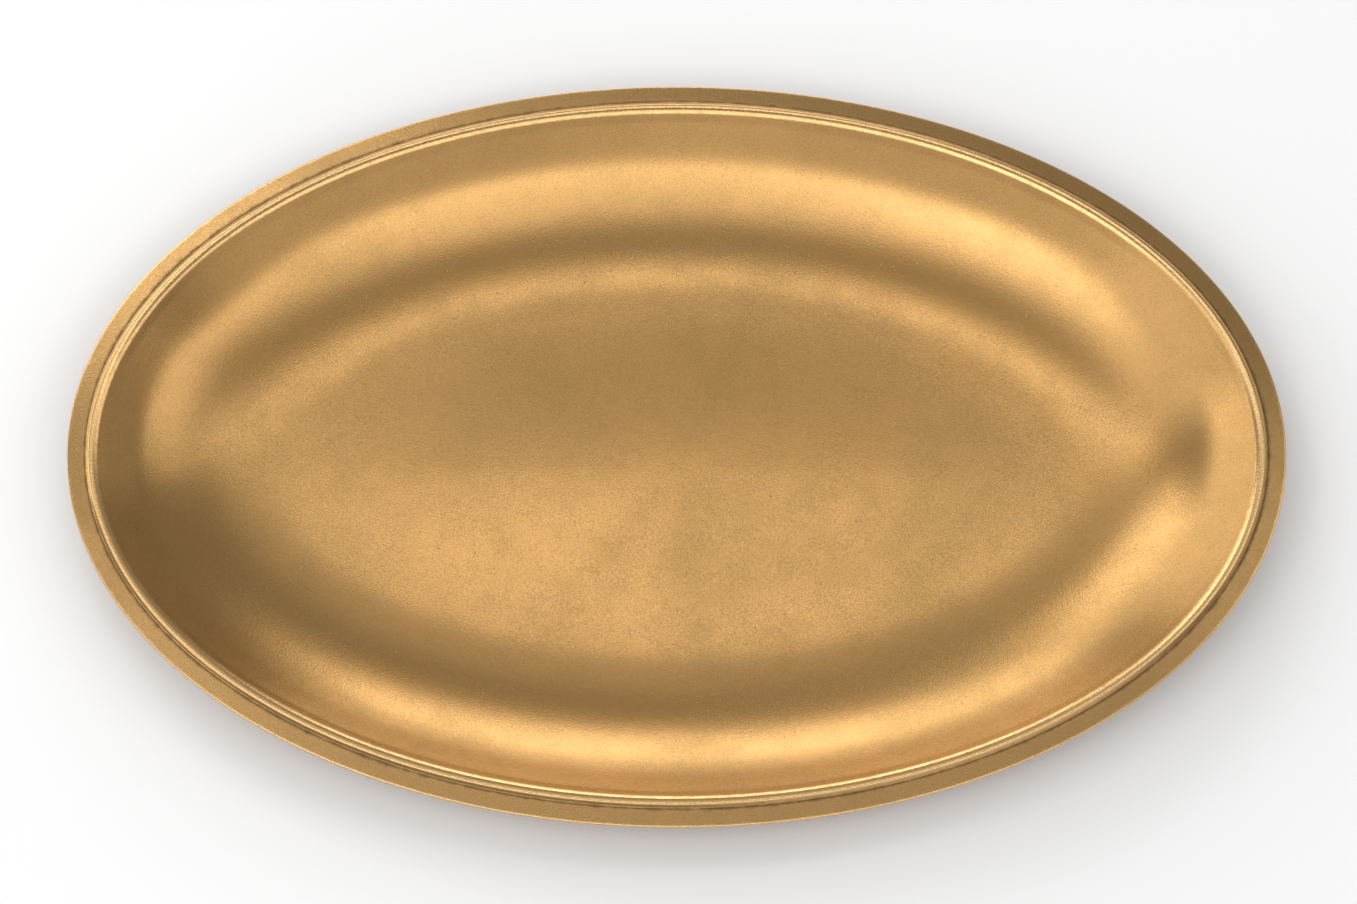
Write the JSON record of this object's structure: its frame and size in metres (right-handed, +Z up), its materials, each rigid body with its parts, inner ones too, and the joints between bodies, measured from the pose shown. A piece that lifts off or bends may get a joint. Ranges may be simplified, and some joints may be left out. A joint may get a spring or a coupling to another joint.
{
  "type": "serving tray",
  "caption": "Oval brass tray with a flat floor sweeping up into sloping walls, a rolled lip and a flat border band, for serving or display.",
  "frame": {"origin": "on the resting surface, under the tray's centre", "axes": "+X along the tray's length, +Y across it towards the back, +Z up"},
  "size_m": [0.2999, 0.194, 0.0183],
  "materials": {
    "pan_brass": "satin tumbled brass with a light, patchy brown-olive patina",
    "band_brass": "satin tumbled brass, a little darker than the pan",
    "solder": "dull wiped brass-coloured solder",
    "felt": "dark brown pressed wool felt"
  },
  "bodies": {
    "root": {"tray_pan": "pan_brass", "rim_band": "band_brass", "solder_seam": "solder", "felt_pad_front_left": "felt", "felt_pad_front_right": "felt", "felt_pad_back_left": "felt", "felt_pad_back_right": "felt"}
  },
  "joints": []
}
